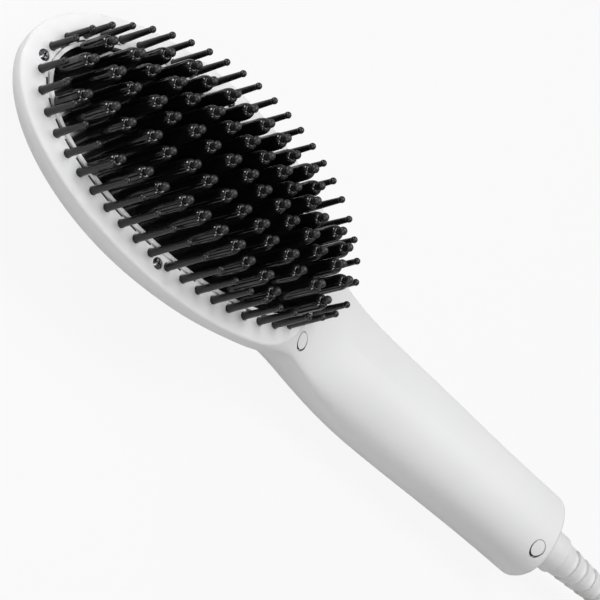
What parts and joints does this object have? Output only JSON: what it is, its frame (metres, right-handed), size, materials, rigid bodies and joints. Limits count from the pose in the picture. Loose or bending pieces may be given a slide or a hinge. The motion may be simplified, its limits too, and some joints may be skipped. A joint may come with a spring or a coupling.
{
  "type": "heated straightening brush",
  "caption": "Oval paddle brush that straightens hair with heated posts inside a ring of thin pins, on a round handle with a turning cord joint and a coiled mains lead.",
  "frame": {"origin": "middle of the brush's length and width, without its cord, on the surface it rests on", "axes": "+X along the handle to the tip of the head, +Z the way the bristles point, +Y across the head"},
  "size_m": [0.4399, 0.0976, 0.0571],
  "materials": {
    "white_casing": "gloss",
    "plug_cap": "gloss",
    "pin_black": "gloss",
    "plate_black": "gloss black coating",
    "tip_black": "gloss",
    "screw_black": "black oxide",
    "carrier_resin": "heat resistant",
    "heater_ceramic": "matt",
    "mica_tan": "satin",
    "clamp_steel": "brushed",
    "sensor_glass": "gloss",
    "fuse_metal": "satin",
    "wire_red": "satin",
    "wire_yellow": "satin",
    "wire_brown": "satin",
    "board_green": "satin",
    "relay_blue": "satin",
    "capacitor_sleeve": "gloss",
    "terminal_grey": "satin",
    "display_dark": "gloss",
    "window_smoke": "polished",
    "button_white": "satin",
    "switch_black": "matt",
    "bush_grey": "self-lubricating",
    "contact_brass": "polished",
    "relief_white": "satin",
    "cord_white": "satin",
    "tie_grey": "woven",
    "plug_white": "satin",
    "plug_pin_metal": "polished"
  },
  "bodies": {
    "brush": {"front_shell": "white_casing", "back_shell": "white_casing", "field_bezel": "white_casing", "thin_pins": "pin_black", "pin_band": "pin_black", "heating_plate": "plate_black", "heating_posts": "plate_black", "post_tips": "tip_black", "heater_carrier": "carrier_resin", "rim_screws": "screw_black", "heater_strips": "heater_ceramic", "mica_sheet": "mica_tan", "heater_clamp": "clamp_steel", "clamp_screws": "clamp_steel", "thermistor": "sensor_glass", "thermal_fuse": "fuse_metal", "handle_screws": "clamp_steel", "screw_plugs": "plug_cap", "tact_switches": "switch_black", "circuit_board": "board_green", "board_screws": "clamp_steel", "display_window": "window_smoke", "display_module": "display_dark", "power_relay": "relay_blue", "filter_capacitor": "capacitor_sleeve", "terminal_block": "terminal_grey", "swivel_bush": "bush_grey", "contact_holder": "bush_grey", "contact_springs": "contact_brass", "mains_wires": "wire_brown", "heater_wires": "wire_red", "sensor_wires": "wire_yellow", "cord_lead": "cord_white", "cord_coil": "cord_white", "cord_tail": "cord_white", "coil_tie": "tie_grey", "plug_body": "plug_white", "plug_pins": "plug_pin_metal"},
    "power_button": {"power_button": "button_white"},
    "plus_button": {"plus_button": "button_white"},
    "minus_button": {"minus_button": "button_white"},
    "cord_joint": {"cord_swivel": "relief_white", "slip_rings": "contact_brass"}
  },
  "joints": [
    {"name": "power_button_press", "type": "slide", "parent": "brush", "child": "power_button", "axis": [0, 0, 1], "range_m": [0, 0.0006], "stiffness_N_per_m": 800},
    {"name": "plus_button_press", "type": "slide", "parent": "brush", "child": "plus_button", "axis": [0, 0, 1], "range_m": [0, 0.0006], "stiffness_N_per_m": 800},
    {"name": "minus_button_press", "type": "slide", "parent": "brush", "child": "minus_button", "axis": [0, 0, 1], "range_m": [0, 0.0006], "stiffness_N_per_m": 800},
    {"name": "cord_swivel_turn", "type": "hinge", "parent": "brush", "child": "cord_joint", "pos_m": [-0.1237, 0, 0.013], "axis": [1, 0, 0], "continuous": true}
  ]
}
